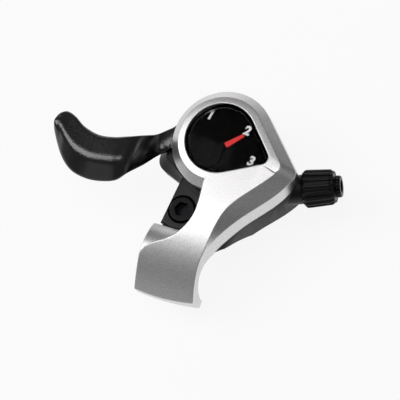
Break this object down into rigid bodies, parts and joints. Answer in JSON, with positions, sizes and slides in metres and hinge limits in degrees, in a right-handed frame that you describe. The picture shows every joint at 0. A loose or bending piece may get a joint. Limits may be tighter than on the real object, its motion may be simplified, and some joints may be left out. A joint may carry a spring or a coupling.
{
  "type": "bicycle thumb-lever gear shifter",
  "caption": "Thumb-lever gear shifter with a dial window and red needle, a silver cover that wraps over the handlebar, a bolted clamp and a ribbed cable adjuster",
  "frame": {"origin": "centre line of the handlebar bore, level with the clamp bolt", "axes": "X along the handlebar toward the stem, Y forward across the bar toward the dial, Z the way the dial faces"},
  "size_m": [0.108, 0.0785, 0.0381],
  "materials": {
    "silver_plastic": "metallic silver paint with fine flake on moulded plastic",
    "black_plastic": "moulded black, fine grain",
    "lever_plastic": "moulded black, grained top and smooth front",
    "knob_plastic": "moulded black, satin",
    "dial_black": "gloss black with white print",
    "clear_window": "clear moulded plastic, polished",
    "needle_red": "moulded red",
    "white_plastic": "natural white bearing plastic",
    "zinc_steel": "bright zinc plate",
    "black_steel": "blackened steel"
  },
  "bodies": {
    "housing": {"base_body": "black_plastic", "top_cover": "silver_plastic", "cover_screws": "zinc_steel", "dial_plate": "dial_black", "window_lens": "clear_window", "clamp_strap": "zinc_steel", "clamp_bolt": "black_steel", "clamp_nut": "zinc_steel", "lever_axle": "zinc_steel", "thrust_washer": "zinc_steel", "axle_clip": "zinc_steel", "click_spring": "zinc_steel", "spring_pin": "zinc_steel"},
    "lever": {"thumb_lever": "lever_plastic", "pivot_bush": "white_plastic", "click_plate": "zinc_steel", "cable_drum": "white_plastic", "dial_drive": "dial_black", "needle_hub": "dial_black", "dial_needle": "needle_red"},
    "knob": {"adjuster_knob": "knob_plastic"},
    "barrel": {"adjuster_bolt": "black_steel", "adjuster_spring": "zinc_steel"}
  },
  "joints": [
    {"name": "lever_pivot", "type": "hinge", "parent": "housing", "child": "lever", "pos_m": [0.0069, 0.038, 0.0103], "axis": [0, 0, 1], "range_deg": [-44, 60], "deforming": ["click_spring"]},
    {"name": "adjuster_turn", "type": "hinge", "parent": "housing", "child": "knob", "pos_m": [0.0405, 0.03775, 0.005], "axis": [0.9397, 0.342, 0], "range_deg": [-366, 726]},
    {"name": "adjuster_travel", "type": "slide", "parent": "knob", "child": "barrel", "axis": [0.9397, 0.342, 0], "range_m": [-0.0008, 0.0016], "deforming": ["adjuster_spring"]}
  ],
  "couplings": [
    {"joint": "adjuster_turn", "follows": "adjuster_travel", "rad_per_m": 7854}
  ]
}
